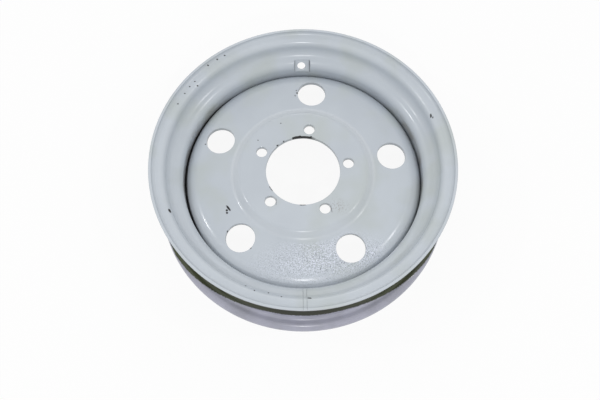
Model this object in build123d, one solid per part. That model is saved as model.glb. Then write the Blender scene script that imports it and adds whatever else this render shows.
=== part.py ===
from build123d import *
import os
from math import cos, radians, sin, sqrt, tan

# Front wheel of a tractor, size 5.00F-20: a rolled drop-centre rim closed by one butt weld,
# and a pressed steel disc welded into its well. Millimetres and degrees.
# +Z points outboard along the spin axis and +Y points at the valve hole.
# The origin is on the spin axis, midway between the two lips.
# Azimuths run from +Y towards +X.

os.makedirs("parts", exist_ok=True)

# Rim section. Its line is the tyre side, and the gauge lies on the air side of it.
seat_diameter = 512.8
tyre_width = 127.0              # between the two flange faces
rim_gauge = 5.0
flange_height = 22.2
curl_radius = 12.0              # flange face into the lip
lip_length = 1.5                # straight end of the lip, past the curl
lip_round = 1.2
heel_radius = 6.5
seat_taper = 5.0
outboard_seat_width = 27.5
inboard_seat_width = 19.0
outboard_toe_radius = 24.0      # seat into ledge
inboard_toe_radius = 14.0
outboard_ledge_angle = 20.0     # rise of each ledge above a plane square to the axis
inboard_ledge_angle = 15.0
well_depth = 27.9
well_radius = 14.0

# Valve seat, a flat pressed into the corner of the outboard ledge and the well
valve_hole_diameter = 16.0
valve_seat_width = 29.0
valve_seat_length = 27.0
valve_seat_tilt = 57.0          # between its normal and the spin axis
valve_seat_drop = 4.9           # below the crown of the corner that it is pressed into
valve_seat_slide = 3.6          # along its slope, from the crown towards the well
valve_seat_shift = 1.6          # sideways from the hole, towards +X
valve_seat_round = 3.0

# Butt weld of the rim, opposite the valve
seam_width = 7.0
seam_crown = 0.5                # proud of the air side only
seam_dressing = 6.0             # ground flush under the disc's flange and this far past it

# Disc. Its line is the outboard face, and the gauge lies inboard of it.
disc_gauge = 8.0
hub_face_height = 30.8          # outboard face of the hub flat, above the middle of the wheel
hub_bore_diameter = 138.0
hub_flat_diameter = 239.0       # at the crest of the step
step_drop = 11.4
step_slope = 40.6
crest_radius = 14.0
foot_radius = 6.0
cone_slope = 4.5
shoulder_radius = 31.0
flange_seat_length = 6.5        # straight band of the disc's flange, past the shoulder
press_clearance = 0.1           # radial, between the disc's flange and the well

bolt_count = 5
bolt_circle_diameter = 172.0
bolt_hole_diameter = 20.4
bolt_azimuth = 8.8
nut_seat_depth = 1.6            # 45 degree cone at the outboard edge of each bolt hole

vent_count = 5
vent_circle_diameter = 342.0
vent_diameter = 54.0
vent_azimuth = 6.4
vent_edge = 0.8                 # 45 degree bevel at the outboard edge of each vent

# Fillet welds between the disc's inboard edge and the well
weld_count = 5
weld_leg = 6.0
weld_bulge = 0.8
weld_arc = 44.0                 # each run, centred between two vents

# Radii and heights that follow
seat_radius = seat_diameter / 2
lip_radius = seat_radius + flange_height
face_height = tyre_width / 2
lip_height = face_height + curl_radius + lip_length
well_line_radius = seat_radius - well_depth
well_wall_radius = well_line_radius - rim_gauge
disc_radius = well_wall_radius - press_clearance
step_foot_radius = hub_flat_diameter / 2 + step_drop / tan(radians(step_slope))
step_foot_height = hub_face_height - step_drop
shoulder_height = step_foot_height - (disc_radius - step_foot_radius) * tan(radians(cone_slope))
shoulder_reach = shoulder_radius * tan(radians((90 - cone_slope) / 2))
flange_end_height = shoulder_height - shoulder_reach - flange_seat_length
beyond = 2 * lip_radius         # longer than anything that it cuts


def turned(section, arc=360.0):
    """Revolve a section drawn with the radius along x and the height along y."""
    return revolve(Plane.XZ * section, Axis.Z, arc)


def at_azimuth(shape, azimuth):
    """Carry a shape that was made on the +Y side round to its azimuth."""
    return Rot(0, 0, -azimuth) * shape


def seat_side(side, seat_width, ledge_angle):
    """Corners of one side of the rim's line, from the lip to the well; side is 1 or -1."""
    toe_line_radius = seat_radius - seat_width * tan(radians(seat_taper))
    toe_height = face_height - seat_width
    well_height = toe_height - (toe_line_radius - well_line_radius) * tan(radians(ledge_angle))
    return [
        (lip_radius, side * lip_height),
        (lip_radius, side * face_height),
        (seat_radius, side * face_height),
        (toe_line_radius, side * toe_height),
        (well_line_radius, side * well_height),
    ]


def rim_section(gauge):
    """The rim's section, of a given gauge towards the air side."""
    outboard = seat_side(1, outboard_seat_width, outboard_ledge_angle)
    inboard = seat_side(-1, inboard_seat_width, inboard_ledge_angle)
    corners = outboard + inboard[::-1]
    outboard_radii = [curl_radius, heel_radius, outboard_toe_radius, well_radius]
    inboard_radii = [curl_radius, heel_radius, inboard_toe_radius, well_radius]
    line = FilletPolyline(*corners, radius=outboard_radii + inboard_radii[::-1])
    section = make_face(offset(line, gauge, side=Side.RIGHT, closed=True))
    lip_corners = section.vertices().filter_by(lambda v: abs(abs(v.Y) - lip_height) < 0.01)
    return fillet(lip_corners, lip_round)


def rim_blank(gauge):
    """The rolled section as a whole ring."""
    return turned(rim_section(gauge))


def air_side_core(ring):
    """Everything between the spin axis and the air side of the ring."""
    drum = Cylinder(lip_radius, 2 * lip_height)
    return (drum - ring).solids().sort_by(SortBy.VOLUME)[-1]


def valve_frame():
    """Middle of the hole on the seat's face; z is square to the face and points into the air side."""
    well_corner_height = seat_side(1, outboard_seat_width, outboard_ledge_angle)[-1][1]
    air_corner_height = well_corner_height + rim_gauge * tan(radians(45 - outboard_ledge_angle / 2))
    half_turn = radians(45 - outboard_ledge_angle / 2)
    crown_depth = (well_radius + rim_gauge) * (1 / cos(half_turn) - 1)
    depth = crown_depth + valve_seat_drop
    tilt = radians(valve_seat_tilt)
    radius = well_wall_radius + depth * sin(tilt) - valve_seat_slide * cos(tilt)
    height = air_corner_height - depth * cos(tilt) - valve_seat_slide * sin(tilt)
    return Pos(0, radius, height) * Rot(valve_seat_tilt, 0, 0)


def pressing(margin):
    """The press tool's block on the valve's frame, grown by a margin on each side and below."""
    width = valve_seat_width + 2 * margin
    length = valve_seat_length + 2 * margin
    height = valve_seat_width
    block = fillet(Box(width, length, height).edges(), valve_seat_round + margin)
    return valve_frame() * Pos(valve_seat_shift, 0, height / 2 - margin) * block


def weld_gap():
    """The slot between the ends of the rolled strip, at the -Y side."""
    return Pos(0, -beyond / 2, 0) * Box(seam_width, beyond, beyond)


def make_rim():
    """The rolled ring, open at the weld, with the valve seat pressed in and pierced."""
    ring = rim_blank(rim_gauge)
    bulge = pressing(rim_gauge) - air_side_core(ring)
    valve_hole = valve_frame() * Cylinder(valve_hole_diameter / 2, 4 * rim_gauge)
    return ring + bulge - pressing(0) - valve_hole - weld_gap()


def make_seam_weld():
    """The weld that fills the gap: flush with the tyre side, crowned on the air side."""
    dressed_top = flange_end_height + flange_seat_length + seam_dressing
    dressed_bottom = flange_end_height - weld_leg - seam_dressing
    dressed_middle = Pos(0, 0, (dressed_top + dressed_bottom) / 2)
    dressed_drum = dressed_middle * Cylinder(well_wall_radius, dressed_top - dressed_bottom)
    return (rim_blank(rim_gauge + seam_crown) & weld_gap()) - dressed_drum


def disc_section():
    """The disc's section, from the centre bore to the end of its turned flange."""
    line = FilletPolyline(
        (hub_bore_diameter / 2, hub_face_height),
        (hub_flat_diameter / 2, hub_face_height),
        (step_foot_radius, step_foot_height),
        (disc_radius, shoulder_height),
        (disc_radius, flange_end_height),
        radius=[crest_radius, foot_radius, shoulder_radius],
    )
    return make_face(offset(line, disc_gauge, side=Side.RIGHT, closed=True))


def piercing(diameter, bevel):
    """A round hole through the disc with a 45 degree bevel; z = 0 is the outboard face."""
    hole = Cylinder(diameter / 2, 4 * disc_gauge)
    return hole + Cone(diameter / 2, diameter / 2 + 2 * bevel, 2 * bevel)


def make_disc():
    """The pressed disc, with its bolt holes in the hub flat and its vents in the cone."""
    disc = turned(disc_section())
    bolt_seat = Pos(0, bolt_circle_diameter / 2, hub_face_height)
    bolt_hole = bolt_seat * piercing(bolt_hole_diameter, nut_seat_depth)
    vent_radius = vent_circle_diameter / 2
    vent_height = step_foot_height - (vent_radius - step_foot_radius) * tan(radians(cone_slope))
    vent_seat = Pos(0, vent_radius, vent_height) * Rot(-cone_slope, 0, 0)
    vent = vent_seat * piercing(vent_diameter, vent_edge)
    for i in range(bolt_count):
        disc -= at_azimuth(bolt_hole, bolt_azimuth + i * 360 / bolt_count)
    for i in range(vent_count):
        disc -= at_azimuth(vent, vent_azimuth + i * 360 / vent_count)
    return disc


def make_disc_weld(number):
    """One run of the fillet weld, centred between two vents."""
    root = (well_wall_radius, flange_end_height)
    wall_toe = (well_wall_radius, flange_end_height - weld_leg)
    flange_toe = (well_wall_radius - weld_leg, flange_end_height)
    crown = weld_leg / 2 + weld_bulge / sqrt(2)
    middle = (well_wall_radius - crown, flange_end_height - crown)
    edge = Polyline(wall_toe, root, flange_toe) + ThreePointArc(flange_toe, middle, wall_toe)
    run = Rot(0, 0, 90 - weld_arc / 2) * turned(make_face(edge), weld_arc)
    return at_azimuth(run, vent_azimuth + (number - 0.5) * 360 / vent_count)


nodes = {
    "rim": make_rim(),
    "rim_seam_weld": make_seam_weld(),
    "wheel_disc": make_disc(),
}
for number in range(1, weld_count + 1):
    nodes[f"disc_weld_{number}"] = make_disc_weld(number)

for name, shape in nodes.items():
    export_step(shape, f"parts/{name}.step")
    print(name, len(shape.solids()), round(shape.volume / 1000, 1), "cm3")
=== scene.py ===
import bpy
import bmesh
from math import atan2, ceil, cos, hypot, pi, radians, sin, sqrt, tan
from mathutils import Matrix, Vector, noise


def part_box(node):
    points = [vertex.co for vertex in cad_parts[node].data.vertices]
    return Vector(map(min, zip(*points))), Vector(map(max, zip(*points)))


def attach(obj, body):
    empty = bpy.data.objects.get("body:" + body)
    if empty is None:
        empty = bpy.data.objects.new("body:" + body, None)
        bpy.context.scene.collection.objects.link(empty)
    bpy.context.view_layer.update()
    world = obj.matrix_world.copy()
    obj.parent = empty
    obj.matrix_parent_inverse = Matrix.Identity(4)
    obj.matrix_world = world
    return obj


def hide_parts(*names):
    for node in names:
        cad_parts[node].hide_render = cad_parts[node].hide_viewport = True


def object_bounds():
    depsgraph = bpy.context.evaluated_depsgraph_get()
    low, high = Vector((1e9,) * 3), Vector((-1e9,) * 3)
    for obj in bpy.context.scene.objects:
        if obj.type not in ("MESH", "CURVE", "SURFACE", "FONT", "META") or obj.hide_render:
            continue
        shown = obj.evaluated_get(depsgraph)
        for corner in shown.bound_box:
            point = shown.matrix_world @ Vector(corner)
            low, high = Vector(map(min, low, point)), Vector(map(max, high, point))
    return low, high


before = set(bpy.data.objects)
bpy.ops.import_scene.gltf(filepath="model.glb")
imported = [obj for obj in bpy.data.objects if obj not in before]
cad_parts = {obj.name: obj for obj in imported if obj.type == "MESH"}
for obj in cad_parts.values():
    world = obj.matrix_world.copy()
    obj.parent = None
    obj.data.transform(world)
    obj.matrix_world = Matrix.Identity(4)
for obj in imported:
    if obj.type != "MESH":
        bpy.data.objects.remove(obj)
cadBox = [list(corner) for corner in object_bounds()]

# Sizes are in millimetres and degrees; points become metres when a mesh is made.
# Azimuths run from +Y (the valve hole) towards +X.
metre = 0.001


def placeAt(radius, azimuth, height=0.0):
    turn = radians(azimuth)
    return Vector((radius * sin(turn), radius * cos(turn), height))


# Walks a cornered line with rounded corners. Each stop is (x, y, side x, side y), where
# side points square off the line, to the right of the way it runs. Each stretch has its
# own step, along its straight part and round the corner after it.
def walkLine(corners, radii, steps):
    stops = []

    def addStop(x, y, heading):
        side = (sin(heading), -cos(heading))
        stops.append((x, y, side[0], side[1]))

    start = corners[0]
    for i in range(1, len(corners)):
        here = corners[i]
        heading = atan2(here[1] - start[1], here[0] - start[0])
        trim = 0.0
        if i < len(corners) - 1:
            after = corners[i + 1]
            nextHeading = atan2(after[1] - here[1], after[0] - here[0])
            bend = (nextHeading - heading + pi) % (2 * pi) - pi
            trim = radii[i - 1] * tan(abs(bend) / 2)
        length = hypot(here[0] - start[0], here[1] - start[1]) - trim
        count = max(1, ceil(length / steps[i - 1]))
        for k in range(count):
            along = length * k / count
            addStop(start[0] + along * cos(heading), start[1] + along * sin(heading), heading)
        end = (start[0] + length * cos(heading), start[1] + length * sin(heading))
        if i == len(corners) - 1:
            addStop(end[0], end[1], heading)
            break
        radius = radii[i - 1]
        hand = 1 if bend > 0 else -1
        centre = (end[0] - hand * radius * sin(heading), end[1] + hand * radius * cos(heading))
        count = max(ceil(radius * abs(bend) / steps[i - 1]), ceil(abs(bend) / radians(9)))
        for k in range(count):
            turned = heading + bend * k / count
            addStop(centre[0] + hand * radius * sin(turned), centre[1] - hand * radius * cos(turned), turned)
        start = (centre[0] + hand * radius * sin(nextHeading), centre[1] - hand * radius * cos(nextHeading))
    return stops


# Both faces of a sheet that follows a line, and the rounded edges at its two ends.
def sheetFaces(stops, gauge, edgeRound):
    front = [(x, y) for x, y, sideX, sideY in stops]
    back = [(x + gauge * sideX, y + gauge * sideY) for x, y, sideX, sideY in stops]

    def edgeArc(stop, way):
        x, y, sideX, sideY = stop
        aheadX, aheadY = -sideY * way, sideX * way
        points = []
        for corner, hand in ((edgeRound, -1), (gauge - edgeRound, 1)):
            for k in range(5):
                turn = radians(90 * k / 4)
                across = corner + hand * edgeRound * (cos(turn) if hand < 0 else sin(turn))
                past = edgeRound * (sin(turn) if hand < 0 else cos(turn))
                inset = edgeRound - past
                points.append((x + across * sideX - inset * aheadX, y + across * sideY - inset * aheadY))
        return points

    return front, back, edgeArc(stops[0], -1), edgeArc(stops[-1], 1)


sharpAngle = 34.0


def finishMesh(name, bm, sharpFrom=sharpAngle):
    bmesh.ops.recalc_face_normals(bm, faces=bm.faces)
    mesh = bpy.data.meshes.new(name)
    bm.to_mesh(mesh)
    bm.free()
    mesh.shade_smooth()
    mesh.set_sharp_from_angle(angle=radians(sharpFrom))
    piece = bpy.data.objects.new(name, mesh)
    bpy.context.scene.collection.objects.link(piece)
    return piece


# Quads from each ring of vertices to the next, and from the last to the first if closed.
def skinRings(bm, rings, closed=False):
    pairs = list(zip(rings, rings[1:]))
    if closed:
        pairs.append((rings[-1], rings[0]))
    size = len(rings[0])
    for a, b in pairs:
        for k in range(size):
            n = (k + 1) % size
            bm.faces.new((a[k], a[n], b[n], b[k]))
    bm.faces.index_update()


def capEnds(bm, rings):
    bm.faces.new(rings[0])
    bm.faces.new(rings[-1])


# A closed loop of (radius, height) points carried round the axis. Each placer gives the
# point in space for a radius and a height.
def addRing(bm, loop, placers, closed):
    rings = [[bm.verts.new(place(radius, height)) for radius, height in loop] for place in placers]
    skinRings(bm, rings, closed)
    return rings


# The loops of the rim and its seam start with the tyre side, whose quads take the second
# material. This is done before the ends are capped.
def markTyreSide(bm, size, tyreQuads):
    for face in bm.faces:
        if face.index % size < tyreQuads:
            face.material_index = 1


rimSpec = {
    "gauge": 5.0,
    "lipRound": 1.2,
    "tyreWidth": 127.0,
    "seatRadius": 256.4,
    "seatTaper": 5.0,
    "wellDepth": 27.9,
    "curl": 12.0,
    "heel": 6.5,
    "wellCorner": 14.0,
    "outboard": {"seat": 27.5, "toe": 24.0, "ledge": 20.0},
    "inboard": {"seat": 19.0, "toe": 14.0, "ledge": 15.0},
    "steps": (1.4, 1.2, 0.9, 0.9, 1.4, 1.8, 1.4, 1.5, 1.5),    # lip to lip, one for each stretch
    "columnsPerSide": 104,
    "columnsFrom": 8.0,         # azimuths between which the columns are evenly spaced
    "columnsTo": 178.5,
}
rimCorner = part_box("rim")[1]
lipRadius = rimCorner.x / metre
lipHeight = rimCorner.z / metre
wellRadius = rimSpec["seatRadius"] - rimSpec["wellDepth"]
wellWall = wellRadius - rimSpec["gauge"]


# Corners of one side of the rim's line, from the lip to the well; side is 1 or -1.
def seatSide(side, spec):
    face = rimSpec["tyreWidth"] / 2
    toeRadius = rimSpec["seatRadius"] - spec["seat"] * tan(radians(rimSpec["seatTaper"]))
    toeHeight = face - spec["seat"]
    wellHeight = toeHeight - (toeRadius - wellRadius) * tan(radians(spec["ledge"]))
    return [(lipRadius, side * lipHeight), (lipRadius, side * face), (rimSpec["seatRadius"], side * face),
            (toeRadius, side * toeHeight), (wellRadius, side * wellHeight)]


def rimLine():
    corners = seatSide(1, rimSpec["outboard"]) + seatSide(-1, rimSpec["inboard"])[::-1]
    radii = [rimSpec["curl"], rimSpec["heel"], rimSpec["outboard"]["toe"], rimSpec["wellCorner"],
             rimSpec["wellCorner"], rimSpec["inboard"]["toe"], rimSpec["heel"], rimSpec["curl"]]
    return walkLine(corners, radii, rimSpec["steps"])


seamSpec = {
    "width": 7.0,
    "crown": 0.45,
    "groove": 0.35,         # open line along each toe of the weld, on the air side only
    "columns": 8,
    "rippleScale": (0.5, 0.35),     # across the weld and along it
    "rippleFrom": 0.8,
    "rippleReach": 0.5,
    "flushFrom": -34.9,     # ground flush between these heights, where the disc seats
    "flushTo": -10.4,
}

valveSpec = {
    "tilt": 57.0,
    "face": (0.0, 229.167, 22.249),
    "shift": 1.6,           # of the pressing, sideways from the hole
    "width": 29.0,
    "length": 27.0,
    "cornerRound": 3.0,
    "wallSlope": 3.6,
    "soften": 1.3,
    "hole": 16.0,
    "holeRound": 0.8,
    "zone": (0.0, 46.0),    # heights between which the wall is worked
    "reach": 30.0,          # and how far to each side
    "columns": ((-26, -16, 1.25), (-16, -11, 0.5), (-11, 13.5, 1.2), (13.5, 18.5, 0.5), (18.5, 26.01, 1.25)),
}
valveTurn = Matrix.Rotation(radians(valveSpec["tilt"]), 3, "X")
valveFace = Vector(valveSpec["face"])


# How far a point of the wall is pressed down towards the valve seat's plane. The bulge on
# the tyre side is a gauge wider and a gauge lower than the seat.
def pressValve(point, onAirSide):
    local = valveTurn.transposed() @ (point - valveFace)
    gauge = 0 if onAirSide else rimSpec["gauge"]
    corner = valveSpec["cornerRound"]
    outX = abs(local.x - valveSpec["shift"]) - valveSpec["width"] / 2 + corner
    outY = abs(local.y) - valveSpec["length"] / 2 + corner
    outside = hypot(max(outX, 0), max(outY, 0)) + min(max(outX, outY), 0) - corner
    limit = max(outside - gauge, 0) * valveSpec["wallSlope"] - gauge
    soften = valveSpec["soften"]
    blend = max(soften - abs(local.z - limit), 0) / soften
    local.z = min(local.z, limit) - blend * blend * soften / 4
    return valveFace + valveTurn @ local


def onPlane(x, side):
    return lambda radius, height: Vector((x, side * sqrt(radius ** 2 - x ** 2), height))


def onAzimuth(azimuth):
    return lambda radius, height: placeAt(radius, azimuth, height)


def makeRim():
    stops = rimLine()
    tyreSide, airSide, topEdge, bottomEdge = sheetFaces(stops, rimSpec["gauge"], rimSpec["lipRound"])
    # the rounded edges stand for the first and last stop of each face
    loop = tyreSide[1:-1] + bottomEdge + airSide[-2:0:-1] + topEdge[::-1]
    airFrom = len(tyreSide) - 2 + len(bottomEdge) // 2
    seamHalf = seamSpec["width"] / 2
    fine = []
    for start, end, step in valveSpec["columns"]:
        fine += [start + step * k for k in range(ceil((end - start) / step))]
    count = rimSpec["columnsPerSide"]
    first, last = rimSpec["columnsFrom"], rimSpec["columnsTo"]
    coarse = [first + (last - first) * k / count for k in range(count + 1)]
    placers = [onPlane(-seamHalf, -1)] + [onAzimuth(-a) for a in reversed(coarse)]
    placers += [onPlane(x, 1) for x in fine]
    placers += [onAzimuth(a) for a in coarse] + [onPlane(seamHalf, -1)]
    bm = bmesh.new()
    rings = addRing(bm, loop, placers, closed=False)
    markTyreSide(bm, len(loop), len(tyreSide) - 3)
    zoneLow, zoneHigh = valveSpec["zone"]
    for ring in rings:
        for k, vert in enumerate(ring):
            inZone = vert.co.y > 0 and abs(vert.co.x) < valveSpec["reach"] and zoneLow < vert.co.z < zoneHigh
            if inZone:
                vert.co = pressValve(vert.co, airFrom <= k < len(loop) - len(topEdge) // 2)
    capEnds(bm, rings)
    for vert in bm.verts:
        vert.co *= metre
    ring = finishMesh("rimRing", bm)
    # empty slots, so that the punch keeps the split
    for k in range(2):
        ring.data.materials.append(None)
    return ring


rim = makeRim()
print("rim ring", len(rim.data.polygons))


punchSpec = {
    "exitFlare": 0.4,       # wider past the far face, which leaves a fine bevel there
    "exitRise": 0.3,        # height above the far face where the flare starts
    "exitPast": 8.0,        # how far the punch goes on past the far face
    "roundSteps": 6,
    "roundStep": 14.0,      # degrees of the entry's rounded edge, for each step
    "mouthOut": 1.5,        # from the end of that edge out and up, clear of the near face
    "mouthUp": 1.2,
    "mouthPast": 12.0,
    "fewestSides": 32,
    "sidesPerMillimetre": 3,
}


# A round punch about its own z axis, with z = 0 on the face that it enters.
def addPunch(bm, place, radius, edgeRound, depth):
    flare = punchSpec["exitFlare"]
    profile = [(radius + flare, -depth - punchSpec["exitPast"]), (radius + flare, -depth - flare),
               (radius, -depth + punchSpec["exitRise"])]
    for k in range(punchSpec["roundSteps"]):
        turn = radians(punchSpec["roundStep"] * k)
        profile.append((radius + edgeRound * (1 - cos(turn)), -edgeRound * (1 - sin(turn))))
    lastRadius, lastHeight = profile[-1]
    profile.append((lastRadius + punchSpec["mouthOut"], lastHeight + punchSpec["mouthUp"]))
    profile.append((lastRadius + punchSpec["mouthOut"], lastHeight + punchSpec["mouthPast"]))
    sides = max(punchSpec["fewestSides"], round(radius * punchSpec["sidesPerMillimetre"]))
    rings = []
    for x, z in profile:
        ring = []
        for k in range(sides):
            turn = 2 * pi * k / sides
            ring.append(bm.verts.new((place @ Vector((x * cos(turn), x * sin(turn), z))) * metre))
        rings.append(ring)
    skinRings(bm, rings)
    capEnds(bm, rings)


def punchOut(piece, punches):
    cutter = finishMesh(piece.name + "Punch", punches)
    cut = piece.modifiers.new("punch", "BOOLEAN")
    cut.operation = "DIFFERENCE"
    cut.solver = "EXACT"
    cut.object = cutter
    evaluated = piece.evaluated_get(bpy.context.evaluated_depsgraph_get())
    mesh = bpy.data.meshes.new_from_object(evaluated)
    piece.modifiers.clear()
    piece.data = mesh
    mesh.shade_smooth()
    mesh.set_sharp_from_angle(angle=radians(sharpAngle))
    bpy.data.objects.remove(cutter)


def frameMatrix(origin, turn):
    matrix = turn.to_4x4()
    matrix.translation = origin
    return matrix


valvePunch = bmesh.new()
addPunch(valvePunch, frameMatrix(valveFace, valveTurn), valveSpec["hole"] / 2, valveSpec["holeRound"],
         rimSpec["gauge"])
punchOut(rim, valvePunch)
print("valve hole punched", len(rim.data.polygons))


def makeSeam():
    stops = rimLine()
    tyreSide, airSide, topEdge, bottomEdge = sheetFaces(stops, rimSpec["gauge"], rimSpec["lipRound"])
    tyreHalf = seamSpec["width"] / 2
    airHalf = tyreHalf - seamSpec["groove"]
    acrossScale, alongScale = seamSpec["rippleScale"]
    columns = seamSpec["columns"]
    bm = bmesh.new()
    rings = []
    for c in range(columns + 1):
        share = 2 * c / columns - 1
        crest = 1 - share ** 4
        raised = []
        for (airX, airY), (x, y, sideX, sideY) in zip(airSide, stops):
            spot = Vector((airHalf * share * acrossScale, x * alongScale, y * alongScale))
            ripple = seamSpec["rippleFrom"] + seamSpec["rippleReach"] * noise.noise(spot)
            flush = seamSpec["flushFrom"] < y < seamSpec["flushTo"]
            crown = 0 if flush else seamSpec["crown"] * crest * ripple
            raised.append((airX + crown * sideX, airY + crown * sideY))
        loop = tyreSide[1:-1] + bottomEdge + raised[-2:0:-1] + topEdge[::-1]
        ring = []
        for k, (radius, height) in enumerate(loop):
            x = share * (tyreHalf if k < len(tyreSide) - 2 else airHalf)
            ring.append(bm.verts.new(Vector((x, -sqrt(radius ** 2 - x ** 2), height)) * metre))
        rings.append(ring)
    skinRings(bm, rings)
    markTyreSide(bm, len(loop), len(tyreSide) - 3)
    capEnds(bm, rings)
    return finishMesh("rimSeam", bm)


seam = makeSeam()
print("rim seam", len(seam.data.polygons))

discSpec = {
    "gauge": 8.0,
    "edgeRound": 0.7,
    "boreRadius": 69.0,
    "hubFace": 30.8,
    "crest": 119.5,
    "stepDrop": 11.4,
    "stepSlope": 40.6,
    "crestRadius": 12.0,
    "footRadius": 13.0,
    "coneSlope": 4.5,
    "shoulder": 31.0,
    "flangeSeat": 6.5,
    "steps": (3.0, 1.2, 1.6, 1.6),
    "columns": 360,
    "clearance": 0.1,
    "boltCircle": 86.0,
    "boltHole": 10.2,
    "boltAzimuth": 8.8,
    "nutSeat": 1.6,
    "ventCircle": 171.0,
    "ventHole": 27.0,
    "ventAzimuth": 6.4,
    "ventRound": 1.3,
    "count": 5,
}
discRadius = wellWall - discSpec["clearance"]
stepFoot = discSpec["crest"] + discSpec["stepDrop"] / tan(radians(discSpec["stepSlope"]))
stepFootHeight = discSpec["hubFace"] - discSpec["stepDrop"]


def coneHeight(radius):
    return stepFootHeight - (radius - stepFoot) * tan(radians(discSpec["coneSlope"]))


shoulderReach = discSpec["shoulder"] * tan(radians((90 - discSpec["coneSlope"]) / 2))
flangeEnd = coneHeight(discRadius) - shoulderReach - discSpec["flangeSeat"]


def makeDisc():
    corners = [(discSpec["boreRadius"], discSpec["hubFace"]), (discSpec["crest"], discSpec["hubFace"]),
               (stepFoot, stepFootHeight), (discRadius, coneHeight(discRadius)), (discRadius, flangeEnd)]
    radii = [discSpec[key] for key in ("crestRadius", "footRadius", "shoulder")]
    stops = walkLine(corners, radii, discSpec["steps"])
    outboard, inboard, boreEdge, flangeEdge = sheetFaces(stops, discSpec["gauge"], discSpec["edgeRound"])
    loop = outboard[1:-1] + flangeEdge + inboard[-2:0:-1] + boreEdge[::-1]
    columns = discSpec["columns"]
    placers = [onAzimuth(360 * k / columns) for k in range(columns)]
    bm = bmesh.new()
    addRing(bm, loop, placers, closed=True)
    for vert in bm.verts:
        vert.co *= metre
    disc = finishMesh("discPressing", bm)
    punches = bmesh.new()
    tilt = Matrix.Rotation(radians(-discSpec["coneSlope"]), 3, "X")
    for i in range(discSpec["count"]):
        bolt = discSpec["boltAzimuth"] + 360 * i / discSpec["count"]
        boltTurn = Matrix.Rotation(radians(-bolt), 3, "Z")
        addPunch(punches, frameMatrix(placeAt(discSpec["boltCircle"], bolt, discSpec["hubFace"]), boltTurn),
                 discSpec["boltHole"], discSpec["nutSeat"], discSpec["gauge"])
        vent = discSpec["ventAzimuth"] + 360 * i / discSpec["count"]
        ventTurn = Matrix.Rotation(radians(-vent), 3, "Z") @ tilt
        ventPlace = placeAt(discSpec["ventCircle"], vent, coneHeight(discSpec["ventCircle"]))
        addPunch(punches, frameMatrix(ventPlace, ventTurn),
                 discSpec["ventHole"], discSpec["ventRound"], discSpec["gauge"])
    punchOut(disc, punches)
    return disc


disc = makeDisc()
print("disc", len(disc.data.polygons))

beadSpec = {
    "leg": 6.0,
    "bulge": 0.8,
    "arc": 44.0,
    "pitch": 3.4,           # from one ripple to the next
    "ripple": 0.32,
    "rippleBow": 0.55,      # how far the middle of a ripple runs ahead of its ends, in pitches
    "rippleCurve": 0.6,
    "wander": 0.5,
    "wanderScale": 0.09,
    "trim": 0.5,            # off the leg, so that wander stays inside it
    "endLength": 5.0,       # over which each end tapers
    "leastTaper": 0.02,
    "overlap": 0.2,         # of the root behind the disc's edge
    "columns": 230,
    "across": 12,
    "sharpAngle": 50.0,
    "count": 5,
}


def makeBead(number):
    middle = discSpec["ventAzimuth"] + (number - 0.5) * 360 / beadSpec["count"]
    columns = beadSpec["columns"]
    across = beadSpec["across"]
    span = beadSpec["arc"]
    runLength = radians(span) * wellWall
    bm = bmesh.new()
    rings = []
    for c in range(columns + 1):
        share = c / columns
        azimuth = middle + span * (share - 0.5)
        along = runLength * share
        fromEnd = min(along, runLength - along)
        rise = 1 - max(1 - fromEnd / beadSpec["endLength"], 0) ** 2
        taper = sqrt(max(rise, beadSpec["leastTaper"]))
        drift = Vector((along * beadSpec["wanderScale"], number * 7.0, 0))
        wander = beadSpec["wander"] * noise.noise(drift)
        leg = (beadSpec["leg"] - beadSpec["trim"] + wander) * taper
        ring = [placeAt(wellWall, azimuth, flangeEnd + beadSpec["overlap"])]
        for k in range(across + 1):
            t = k / across
            curve = 4 * t * (1 - t)
            phase = (along / beadSpec["pitch"] + beadSpec["rippleBow"] * curve) % 1
            wave = beadSpec["ripple"] * (phase ** beadSpec["rippleCurve"] - 0.5)
            swell = beadSpec["bulge"] * curve + wave * min(curve * 3, 1)
            inward = leg * t + swell * taper / sqrt(2)
            down = leg * (1 - t) + swell * taper / sqrt(2)
            ring.append(placeAt(wellWall - inward, azimuth, flangeEnd - down))
        rings.append([bm.verts.new(point * metre) for point in ring])
    skinRings(bm, rings)
    capEnds(bm, rings)
    return finishMesh(f"discBead{number}", bm, beadSpec["sharpAngle"])


beads = [makeBead(number) for number in range(1, beadSpec["count"] + 1)]
print("disc beads", len(beads))


# Adds a node, sets or links its sockets and returns the node. The small helpers below
# return the socket with their result instead.
def addNode(tree, kind, sockets=None, **settings):
    node = tree.nodes.new(kind)
    for key, value in settings.items():
        setattr(node, key, value)
    for key, value in (sockets or {}).items():
        if isinstance(value, bpy.types.NodeSocket):
            tree.links.new(value, node.inputs[key])
        else:
            node.inputs[key].default_value = value
    return node


def newMaterial(name):
    material = bpy.data.materials.new(name)
    material.use_nodes = True
    tree = material.node_tree
    shader = tree.nodes["Principled BSDF"]
    place = addNode(tree, "ShaderNodeTexCoord").outputs["Object"]
    return material, tree, shader, place


def noiseAt(tree, place, scale, detail=3.0, rough=0.5):
    node = addNode(tree, "ShaderNodeTexNoise",
                   {"Vector": place, "Scale": scale, "Detail": detail, "Roughness": rough})
    return node.outputs["Fac"]


def ramp(tree, value, low, high, toLow=0.0, toHigh=1.0):
    node = addNode(tree, "ShaderNodeMapRange", {"Value": value, "From Min": low, "From Max": high,
                                                "To Min": toLow, "To Max": toHigh})
    return node.outputs["Result"]


def maths(tree, operation, a, b=0.0):
    return addNode(tree, "ShaderNodeMath", {0: a, 1: b}, operation=operation).outputs[0]


def axes(tree, place):
    return addNode(tree, "ShaderNodeSeparateXYZ", {0: place}).outputs


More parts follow.
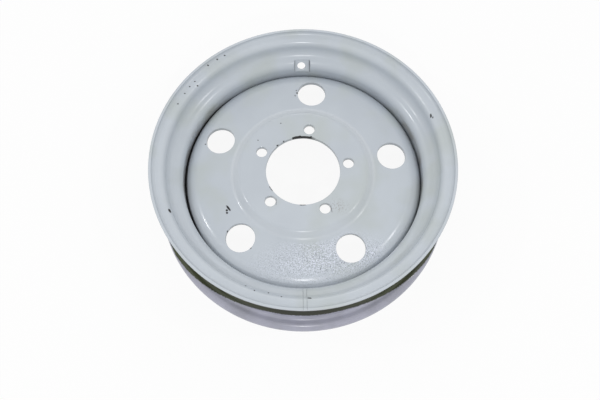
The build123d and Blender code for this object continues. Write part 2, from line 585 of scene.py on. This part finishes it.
# One where all of the masks are one.
def together(tree, *masks):
    joined = masks[0]
    for mask in masks[1:]:
        joined = maths(tree, "MULTIPLY", joined, mask)
    return joined


def mixColour(tree, share, a, b):
    node = addNode(tree, "ShaderNodeMix", data_type="RGBA")
    for key, value in (("Factor", share), ("A", a), ("B", b)):
        socket = [s for s in node.inputs if s.name == key and s.enabled and s.type in ("RGBA", "VALUE")][0]
        if isinstance(value, bpy.types.NodeSocket):
            tree.links.new(value, socket)
        else:
            socket.default_value = value
    return [s for s in node.outputs if s.enabled][0]


def bump(tree, height, distance, under=None):
    sockets = {"Height": height, "Distance": distance}
    if under:
        sockets["Normal"] = under
    return addNode(tree, "ShaderNodeBump", sockets).outputs["Normal"]


# Radius and height of the shaded point, in millimetres.
def polar(tree, place):
    x, y, z = axes(tree, place)
    flat = addNode(tree, "ShaderNodeCombineXYZ", {0: x, 1: y}).outputs[0]
    reach = addNode(tree, "ShaderNodeVectorMath", {0: flat}, operation="LENGTH").outputs["Value"]
    return maths(tree, "DIVIDE", reach, metre), maths(tree, "DIVIDE", z, metre)


# Its azimuth, in degrees.
def azimuthOf(tree, place):
    x, y = axes(tree, place)[:2]
    return maths(tree, "MULTIPLY", maths(tree, "ARCTAN2", x, y), 180 / pi)


# One on the faces that point outboard, nought on those that point inboard.
def facingOutboard(tree):
    normal = addNode(tree, "ShaderNodeTexCoord").outputs["Normal"]
    return ramp(tree, axes(tree, normal)[2], 0.0, 0.2)


# Pushes the point about by a noise, so that a mark drawn on it gets a ragged edge.
def ragged(tree, place, scale, reach):
    drift = addNode(tree, "ShaderNodeTexNoise", {"Vector": place, "Scale": scale}).outputs["Color"]
    centred = addNode(tree, "ShaderNodeVectorMath", {0: drift, 1: (0.5, 0.5, 0.5)}, operation="SUBTRACT")
    pushed = addNode(tree, "ShaderNodeVectorMath", {0: centred.outputs[0], "Scale": reach}, operation="SCALE")
    return addNode(tree, "ShaderNodeVectorMath", {0: place, 1: pushed.outputs[0]}, operation="ADD").outputs[0]


# Oval spots. Each mark is (x, y, z, length, width, turn of the length from +X).
def spots(tree, place, marks, depth=5.0, soft=(1.5, 1.05)):
    mask = None
    for x, y, z, length, width, turn in marks:
        sockets = {"Vector": place, "Location": Vector((x, y, z)) * metre, "Rotation": (0, 0, radians(turn)),
                   "Scale": Vector((length / 2, width / 2, depth)) * metre}
        local = addNode(tree, "ShaderNodeMapping", sockets, vector_type="TEXTURE").outputs[0]
        reach = addNode(tree, "ShaderNodeVectorMath", {0: local}, operation="LENGTH").outputs["Value"]
        spot = ramp(tree, reach, *soft)
        mask = spot if mask is None else maths(tree, "MAXIMUM", mask, spot)
    return mask


# sRGB 0 to 255 as written in a picture editor, to the linear colour that Blender takes.
def paint(red, green, blue):
    linear = []
    for value in (red, green, blue):
        value /= 255
        linear.append(value / 12.92 if value <= 0.04045 else ((value + 0.055) / 1.055) ** 2.4)
    return (*linear, 1.0)


enamelSpec = {
    "light": paint(197, 204, 211),
    "shade": paint(185, 192, 200),
    "mild": paint(186, 193, 192),      # greener clouds
    "rough": (0.16, 0.27),
    "peelScale": 420.0,
    "peelDepth": 0.000012,
    "chip": paint(34, 33, 33),
    "rust": paint(110, 92, 74),
    # dark grey for the painted shade in the gap, and for the lines by two bolt holes
    "darkGrey": paint(74, 74, 76),
    "clot": paint(24, 23, 23),         # blackest dirt, in blots
    "grain": paint(232, 236, 250),
    "pit": paint(120, 126, 138),
    "wallShade": paint(112, 116, 122),      # painted shade, darkening low on the wall of the well
    "stain": paint(139, 134, 122),
    "cornerShade": paint(96, 100, 104),
    "paintedLight": paint(214, 219, 224),     # painted light, paler where the step and the near shoulder lie in shade
    "grit": 0.4,                       # height of the overspray, for a chip's depth of 1
    "chipDepth": 0.00012,
}


# The sprayed coat that all pieces share: soft clouds of colour, with painted light making it paler towards the
# near side.
# The argument gives this painted light's share on the far side, where the near side has 0.6.
def enamelColour(tree, place, farPaintedLight=0.0):
    cloud = ramp(tree, noiseAt(tree, place, 9.0), 0.36, 0.64, 0.0, 0.4)
    y = axes(tree, place)[1]
    paintedNearLight = maths(tree, "ADD", cloud, ramp(tree, y, 0.16, -0.16, farPaintedLight, 0.6))
    colour = mixColour(tree, paintedNearLight, enamelSpec["shade"], enamelSpec["light"])
    patch = ramp(tree, noiseAt(tree, place, 13.0, 2.0), 0.5, 0.7, 0.0, 0.7)
    return mixColour(tree, patch, colour, enamelSpec["mild"])


# Gloss and orange peel of the coat; where worn is one, the bare metal is dull and sunk.
def finishEnamel(tree, shader, place, colour, worn, grit=0.0):
    smudge = ramp(tree, noiseAt(tree, place, 26.0, 4.0), 0.3, 0.7, *enamelSpec["rough"])
    tree.links.new(colour, shader.inputs["Base Color"])
    dull = maths(tree, "MULTIPLY", worn, 0.75)
    tree.links.new(maths(tree, "MAXIMUM", smudge, dull), shader.inputs["Roughness"])
    peel = noiseAt(tree, place, enamelSpec["peelScale"], 2.0)
    normal = bump(tree, peel, enamelSpec["peelDepth"])
    relief = maths(tree, "SUBTRACT", grit, worn)
    tree.links.new(bump(tree, relief, enamelSpec["chipDepth"], normal), shader.inputs["Normal"])


# Painted shade, with dirt, in the gap between the disc's shoulder and the well. It starts at the first of each
# pair and is full at the second, and at the two sides of the wheel it stands higher.
gapSpec = {
    "wall": (-4.5, -9.5),       # heights on the wall
    "wallRise": 4.0,
    "disc": (218.6, 220.4),     # radii on the disc
    "discRise": 1.0,
    "farShare": 0.1,            # how strong it is on the far wall
    "rightShare": 0.15,         # and at the right side
    "sides": (0.130, 0.205),    # distances sideways between which it gathers
    "nearLag": 0.040,           # how much further out that is on the near half
}


# One at the two sides of the wheel, nought at its near and far ends.
def sideShare(tree, place):
    x, y = axes(tree, place)[:2]
    lag = ramp(tree, y, 0.02, -0.06, 0.0, gapSpec["nearLag"])
    sideways = maths(tree, "SUBTRACT", maths(tree, "ABSOLUTE", x), lag)
    return ramp(tree, sideways, *gapSpec["sides"])


# How strong the gap's painted shade and dirt are, from the right side to the left.
def leftShare(tree, place):
    x = axes(tree, place)[0]
    return ramp(tree, x, 0.02, -0.12, gapSpec["rightShare"], 1.0)


# Dark grey painted shade with black blots of dirt.
def shadeAndDirtColour(tree, place):
    blots = ramp(tree, noiseAt(tree, place, 130.0, 3.0, 0.7), 0.5, 0.58)
    return mixColour(tree, blots, enamelSpec["darkGrey"], enamelSpec["clot"])


# Each mark on the disc is (x, y, length, width, turn); its height follows from its radius.
discMarks = {
    "chips": ((-137.9, -68.7, 10.6, 3.0, -53.5), (-140.8, -73.0, 3.6, 3.2, 0), (-140.4, -77.9, 3.4, 3.0, 0),
              (-184.6, 64.1, 2.2, 1.8, 0), (-83.8, 62.9, 2.2, 1.6, 0), (-40.4, 98.3, 2.0, 1.6, 0),
              (-138.5, -113.5, 2.4, 3.0, 0), (-96.6, -146.6, 3.0, 1.8, 20), (-9.0, 172.0, 2.2, 3.6, 0),
              (-13.0, 166.0, 1.6, 2.6, 20), (-10.5, 178.0, 1.4, 2.0, 0), (16.2, 68.6, 3.2, 2.6, 0),
              (-47.2, 51.6, 3.6, 1.8, 35), (-35.8, 60.2, 2.8, 1.8, 30), (-57.6, -38.0, 5.5, 2.6, -56),
              (-61.0, -33.7, 3.0, 1.6, -56), (-1.3, -69.4, 9.2, 2.0, 0)),
    "burr": ((-12.0, 68.4, 9.5, 3.2, 10), (-5.0, 69.6, 5.5, 3.2, 4), (-17.5, 67.0, 3.2, 2.4, 14)),
    "darkGrey": ((50.3, -78.0, 1.8, 11.0, 10), (-50.0, -62.0, 1.4, 11.0, 0)),
    "speckle": ((64.0, -72.0, 46.0, 34.0, -20),),
    "grain": ((30.0, -170.0, 250.0, 96.0, 6), (114.0, -162.0, 84.0, 52.0, 35)),
}


# Height of the outboard face at a radius, leaving its rounded corners out.
def discHeight(radius):
    if radius < discSpec["crest"]:
        return discSpec["hubFace"]
    if radius < stepFoot:
        return discSpec["hubFace"] - (radius - discSpec["crest"]) * tan(radians(discSpec["stepSlope"]))
    return coneHeight(radius)


def onDisc(marks):
    return [(x, y, discHeight(hypot(x, y)), *shape) for x, y, *shape in marks]


def makeDiscEnamel():
    material, tree, shader, place = newMaterial("discEnamel")
    torn = ragged(tree, place, 700.0, 0.0022)
    radius, height = polar(tree, torn)
    azimuth = azimuthOf(tree, torn)
    onTop = together(tree, ramp(tree, height, -20.0, -14.0), facingOutboard(tree))
    colour = enamelColour(tree, place)
    # painted light: paler paint on the step, and on the shoulder of the near half, against the shade that falls
    # there
    y = axes(tree, place)[1]
    onStep = together(tree, ramp(tree, radius, 119.0, 124.0), ramp(tree, radius, 137.0, 131.0),
                      ramp(tree, y, -0.06, 0.03, 0.35, 0.85))
    onShoulder = together(tree, ramp(tree, radius, 198.0, 214.0), ramp(tree, y, 0.02, -0.08, 0.0, 0.8))
    paintedLight = together(tree, maths(tree, "MAXIMUM", onStep, onShoulder), onTop)
    colour = mixColour(tree, paintedLight, colour, enamelSpec["paintedLight"])
    # fine overspray that fell on the side nearest the sprayer, short of the foot of the step
    zone = together(tree, spots(tree, place, onDisc(discMarks["grain"]), 30.0, (1.2, 0.25)),
                    ramp(tree, radius, 137.0, 142.0), onTop)
    fleck = ramp(tree, noiseAt(tree, place, 470.0, 2.0, 0.7), 0.5, 0.58)
    overspray = together(tree, zone, fleck)
    colour = mixColour(tree, maths(tree, "MULTIPLY", overspray, 0.85), colour, enamelSpec["grain"])
    pit = together(tree, zone, ramp(tree, noiseAt(tree, place, 510.0, 2.0, 0.6), 0.46, 0.36))
    colour = mixColour(tree, maths(tree, "MULTIPLY", pit, 0.85), colour, enamelSpec["pit"])
    # rust that wept from the bolt hole, in specks
    weep = together(tree, spots(tree, torn, onDisc(discMarks["speckle"]), 8.0, (1.1, 0.2)),
                    ramp(tree, noiseAt(tree, place, 330.0, 3.0, 0.7), 0.5, 0.62), onTop)
    colour = mixColour(tree, maths(tree, "MULTIPLY", weep, 0.38), colour, enamelSpec["rust"])
    # burr along the far edge of the centre bore, thinning out towards +X
    edgeLine = together(tree, ramp(tree, radius, 71.2, 70.2), ramp(tree, azimuth, -16.0, -13.0),
                        ramp(tree, azimuth, 22.0, 12.0), ramp(tree, height, 22.0, 27.0))
    marks = spots(tree, torn, onDisc((*discMarks["chips"], *discMarks["burr"])))
    chips = maths(tree, "MAXIMUM", marks, edgeLine)
    colour = mixColour(tree, chips, colour, enamelSpec["chip"])
    # a dark grey line along the edge of two of the bolt holes
    crescents = maths(tree, "MULTIPLY", spots(tree, torn, onDisc(discMarks["darkGrey"])), 0.55)
    colour = mixColour(tree, crescents, colour, enamelSpec["darkGrey"])
    # painted shade, with dirt, in the gap at the edge of the shoulder
    side = sideShare(tree, place)
    spread = maths(tree, "ADD", radius, ramp(tree, side, 0.0, 1.0, 0.0, gapSpec["discRise"]))
    gap = together(tree, ramp(tree, spread, *gapSpec["disc"]), ramp(tree, side, 0.0, 0.4), onTop,
                   leftShare(tree, place))
    colour = mixColour(tree, gap, colour, shadeAndDirtColour(tree, place))
    grit = maths(tree, "MULTIPLY", overspray, enamelSpec["grit"])
    finishEnamel(tree, shader, place, colour, maths(tree, "MAXIMUM", chips, gap), grit)
    return material


# Each mark on the rim is (x, y, z, length, width, turn).
rimMarks = {
    "chips": ((-237.3, -91.4, 65.2, 6.5, 3.0, -60), (238.9, 91.3, 66.4, 2.4, 6.0, 0),
              (242.0, 87.4, 67.3, 1.6, 3.0, 0), (7.3, -253.8, 64.8, 6.0, 2.2, -8),
              (-103.0, -224.0, 42.0, 2.2, 1.6, 0), (-86.0, -239.0, 65.0, 2.0, 1.6, 0),
              (-63.0, -236.5, 40.0, 2.2, 1.6, 0), (-40.0, -250.5, 64.5, 2.0, 1.6, 0)),
    "speckPlaces": ((-161, 217), (-147, 226), (-178, 204), (-202, 170), (-197, 162), (-211, 159),
                    (-220, 144), (-232, 122)),
    "speck": (69.0, 2.4, 1.9, 0),       # height on the outboard flange, length, width and turn
}


def makeRimEnamel():
    material, tree, shader, place = newMaterial("rimEnamel")
    torn = ragged(tree, place, 600.0, 0.0022)
    radius, height = polar(tree, torn)
    colour = enamelColour(tree, place, 0.45)
    side = sideShare(tree, place)
    # painted shade and brown dirt low on the well's wall
    wall = ramp(tree, radius, 226.5, 224.5)
    low = together(tree, wall, ramp(tree, height, 19.0, -4.0), ramp(tree, height, -24.0, -18.0),
                   ramp(tree, side, 0.0, 1.0, 0.2, 1.0))
    colour = mixColour(tree, maths(tree, "MULTIPLY", low, 0.25), colour, enamelSpec["wallShade"])
    stain = together(tree, wall, side, ramp(tree, noiseAt(tree, place, 30.0), 0.42, 0.6),
                     ramp(tree, height, 30.0, 12.0), ramp(tree, height, -10.0, 0.0))
    colour = mixColour(tree, maths(tree, "MULTIPLY", stain, 0.6), colour, enamelSpec["stain"])
    # painted shade, with dirt, low on the wall at the gap
    sunk = maths(tree, "SUBTRACT", height, ramp(tree, side, 0.0, 1.0, 0.0, gapSpec["wallRise"]))
    gap = together(tree, wall, ramp(tree, sunk, *gapSpec["wall"]), ramp(tree, height, -24.0, -18.0),
                   ramp(tree, side, 0.0, 0.5, gapSpec["farShare"], 1.0), leftShare(tree, place))
    colour = mixColour(tree, gap, colour, shadeAndDirtColour(tree, place))
    # painted shade in the corners round the valve seat: most at its right side, none along its top
    onSeat = {"Vector": place, "Location": valveFace * metre, "Rotation": (radians(valveSpec["tilt"]), 0, 0)}
    local = addNode(tree, "ShaderNodeMapping", onSeat, vector_type="TEXTURE").outputs[0]
    across, along, above = axes(tree, local)
    fromMiddle = maths(tree, "ABSOLUTE", maths(tree, "SUBTRACT", across, valveSpec["shift"] * metre))
    outX = maths(tree, "SUBTRACT", fromMiddle, valveSpec["width"] / 2 * metre)
    outY = maths(tree, "SUBTRACT", maths(tree, "ABSOLUTE", along), valveSpec["length"] / 2 * metre)
    sides = together(tree, ramp(tree, maths(tree, "ABSOLUTE", outX), 0.0018, 0.0004),
                     ramp(tree, outY, 0.002, -0.002), ramp(tree, across, -0.016, 0.012, 0.45, 1.0))
    foot = together(tree, ramp(tree, maths(tree, "ABSOLUTE", outY), 0.0018, 0.0004),
                    ramp(tree, outX, 0.002, -0.002), ramp(tree, along, -0.004, -0.012, 0.0, 0.4))
    corner = together(tree, maths(tree, "MAXIMUM", sides, foot),
                      ramp(tree, noiseAt(tree, place, 150.0), 0.35, 0.6, 0.55, 1.0),
                      ramp(tree, maths(tree, "ABSOLUTE", above), 0.014, 0.012))
    colour = mixColour(tree, maths(tree, "MULTIPLY", corner, 0.75), colour, enamelSpec["cornerShade"])
    specks = [(x, y, *rimMarks["speck"]) for x, y in rimMarks["speckPlaces"]]
    chips = spots(tree, torn, (*rimMarks["chips"], *specks), 8.0)
    colour = mixColour(tree, chips, colour, enamelSpec["chip"])
    finishEnamel(tree, shader, place, colour, maths(tree, "MAXIMUM", chips, gap))
    return material


tyreSideSpec = {
    "olive": paint(54, 60, 34),
    "black": paint(30, 31, 25),
    "moss": paint(60, 70, 28),
    "flange": paint(176, 177, 192),
    "flangeShade": paint(164, 165, 178),
    # the spray starts at the first reach in the middle and at the second at the two sides;
    # reach is the radius and a share of the height, so that it grows all the way to the lip
    # this edge is also drawn along the line of the painted shadow under the outboard flange
    "sprayFrom": (270.5, 297.5),
    "heightShare": 0.3,
    "sprayTurn": (0.060, 0.246),        # distances sideways between which it moves out
    "sprayCurve": 1.4,
    "sprayFade": 0.8,
}


# Dark olive where the tyre sits, painted near black as the shadow under the outboard flange, with the spray
# drifting over the flanges.
def makeTyreSide():
    material, tree, shader, place = newMaterial("tyreSideCoat")
    torn = ragged(tree, place, 240.0, 0.003)
    radius, height = polar(tree, torn)
    outOfPlane = maths(tree, "MULTIPLY", maths(tree, "ABSOLUTE", height), tyreSideSpec["heightShare"])
    reach = maths(tree, "ADD", radius, outOfPlane)
    sideways = maths(tree, "ABSOLUTE", axes(tree, place)[0])
    outward = maths(tree, "POWER", ramp(tree, sideways, *tyreSideSpec["sprayTurn"]), tyreSideSpec["sprayCurve"])
    sprayEdge = ramp(tree, outward, 0.0, 1.0, *tyreSideSpec["sprayFrom"])
    side = sideShare(tree, place)
    # blacker in patches and towards the middle of the near side
    blackening = maths(tree, "MAXIMUM", ramp(tree, noiseAt(tree, place, 16.0, 4.0), 0.35, 0.75, 0.0, 0.6),
                 ramp(tree, sideways, 0.15, 0.05, 0.0, 0.7))
    shadowedOlive = mixColour(tree, blackening, tyreSideSpec["olive"], tyreSideSpec["black"])
    shadowedOlive = mixColour(tree, together(tree, side, ramp(tree, noiseAt(tree, place, 40.0), 0.3, 0.7, 0.1, 0.6)),
                       shadowedOlive, tyreSideSpec["moss"])
    sprayed = mixColour(tree, ramp(tree, noiseAt(tree, place, 22.0), 0.4, 0.62),
                        tyreSideSpec["flangeShade"], tyreSideSpec["flange"])
    fade = tyreSideSpec["sprayFade"]
    drift = ramp(tree, maths(tree, "SUBTRACT", reach, sprayEdge), -fade, fade)
    colour = mixColour(tree, drift, shadowedOlive, sprayed)
    finishEnamel(tree, shader, place, colour, ramp(tree, drift, 0.0, 1.0, 0.6, 0.0))
    return material


def makeBeadEnamel():
    material, tree, shader, place = newMaterial("beadEnamel")
    colour = enamelColour(tree, place)
    cinder = ramp(tree, noiseAt(tree, place, 240.0, 3.0), 0.62, 0.7)
    colour = mixColour(tree, cinder, colour, enamelSpec["rust"])
    finishEnamel(tree, shader, place, colour, cinder)
    return material


rimEnamel = makeRimEnamel()
tyreSideCoat = makeTyreSide()
discEnamel = makeDiscEnamel()
beadEnamel = makeBeadEnamel()


def dress(piece, node, slot, *materials):
    for k, material in enumerate(materials):
        if k < len(piece.data.materials):
            piece.data.materials[k] = material
        else:
            piece.data.materials.append(material)
    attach(piece, "root")
    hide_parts(node)


dress(rim, "rim", "rim_paint", rimEnamel, tyreSideCoat)
dress(seam, "rim_seam_weld", "weld_paint", rimEnamel, tyreSideCoat)
dress(disc, "wheel_disc", "disc_paint", discEnamel)
for number, bead in enumerate(beads, 1):
    dress(bead, f"disc_weld_{number}", "weld_paint", beadEnamel)
print("pieces dressed")


# Camera, from the ellipses of the photograph: distances are from the middle of the outboard lip.
cameraSpec = {
    "lipLevel": 76.0,
    "back": 617.3,
    "up": 1309.7,
    "azimuth": 180.8,
    "aimForward": 0.38009,
    "aimDown": -0.92492,
    "pan": -0.177,
    "roll": -0.02,
    "focalPixels": 802.3,
    "pictureWidth": 600,
    "shiftPixels": (-0.5, 0.3),
    "sensor": 36.0,
}


def makeCamera():
    spec = cameraSpec
    camera = bpy.data.objects.new("camera", bpy.data.cameras.new("camera"))
    bpy.context.scene.collection.objects.link(camera)
    camera.data.sensor_width = spec["sensor"]
    camera.data.lens = spec["focalPixels"] * spec["sensor"] / spec["pictureWidth"]
    camera.data.shift_x, camera.data.shift_y = [s / spec["pictureWidth"] for s in spec["shiftPixels"]]
    outward = placeAt(1, spec["azimuth"])
    forward = (outward * -spec["aimForward"] + Vector((0, 0, spec["aimDown"]))).normalized()
    right = forward.cross(Vector((0, 0, 1))).normalized()
    upward = right.cross(forward)
    pan = radians(spec["pan"])
    forward, right = forward * cos(pan) + right * sin(pan), right * cos(pan) - forward * sin(pan)
    turn = Matrix((right, upward, -forward)).transposed().to_4x4()
    turn = turn @ Matrix.Rotation(radians(spec["roll"]), 4, "Z")
    turn.translation = (outward * spec["back"] + Vector((0, 0, spec["lipLevel"] + spec["up"]))) * metre
    camera.matrix_world = turn
    bpy.context.scene.camera = camera


makeCamera()

lightSpec = {
    "front": {"towards": (0.0, -0.64, 0.77), "size": 0.15, "power": 7.2},
    "left": {"towards": (-0.66, 0.04, 0.75), "size": 0.14, "power": 4.5},
    "right": {"towards": (0.60, -0.08, 0.80), "size": 0.14, "power": 4.3},
    "back": {"towards": (0.0, 0.85, 0.53), "size": 1.2, "power": 4.0},
    "distance": 2.4,
    "fill": 0.74,
    "floorGlow": 0.92,          # the rest of the floor is matt paper, which takes the shadow
    "floorMatt": 0.86,          # colour of that paper, the same in all three channels
    "floorReach": 9.0,          # metres
}


def makeLamp(name):
    spec = lightSpec[name]
    lamp = bpy.data.objects.new(name + "Lamp", bpy.data.lights.new(name + "Lamp", "AREA"))
    bpy.context.scene.collection.objects.link(lamp)
    lamp.data.shape = "DISK"
    lamp.data.size = spec["size"]
    lamp.data.energy = spec["power"]
    towards = Vector(spec["towards"]).normalized()
    lamp.location = towards * lightSpec["distance"]
    lamp.rotation_euler = towards.to_track_quat("Z", "Y").to_euler()


for name in ("front", "left", "right", "back"):
    makeLamp(name)


# White for whatever the camera, a gloss or a pane sees; the fill for everything else.
def seenDirectly(tree):
    rays = addNode(tree, "ShaderNodeLightPath")
    seen = maths(tree, "MAXIMUM", rays.outputs["Is Camera Ray"], rays.outputs["Is Glossy Ray"])
    return maths(tree, "MAXIMUM", seen, rays.outputs["Is Transmission Ray"])


def makeWorld():
    world = bpy.data.worlds.new("studio")
    bpy.context.scene.world = world
    world.use_nodes = True
    tree = world.node_tree
    background = tree.nodes["Background"]
    background.inputs["Color"].default_value = (1, 1, 1, 1)
    strength = ramp(tree, seenDirectly(tree), 0.0, 1.0, lightSpec["fill"], 1.0)
    tree.links.new(strength, background.inputs["Strength"])


def makeFloor():
    bm = bmesh.new()
    reach = lightSpec["floorReach"]
    corners = ((-reach, -reach), (reach, -reach), (reach, reach), (-reach, reach))
    bm.faces.new([bm.verts.new((x, y, cadBox[0][2])) for x, y in corners])
    floor = finishMesh("floor", bm)
    material = bpy.data.materials.new("floorPaper")
    material.use_nodes = True
    tree = material.node_tree
    tree.nodes.remove(tree.nodes["Principled BSDF"])
    grey = lightSpec["floorMatt"]
    matt = addNode(tree, "ShaderNodeBsdfDiffuse", {"Color": (grey, grey, grey, 1)})
    glow = addNode(tree, "ShaderNodeEmission", {"Color": (1, 1, 1, 1), "Strength": 1.0})
    share = maths(tree, "MULTIPLY", seenDirectly(tree), lightSpec["floorGlow"])
    mixed = addNode(tree, "ShaderNodeMixShader", {0: share, 1: matt.outputs[0], 2: glow.outputs[0]})
    tree.links.new(mixed.outputs[0], tree.nodes["Material Output"].inputs["Surface"])
    floor.data.materials.append(material)


makeWorld()
makeFloor()
bpy.context.scene.view_settings.view_transform = "Standard"
print("camera, lamps and floor set")
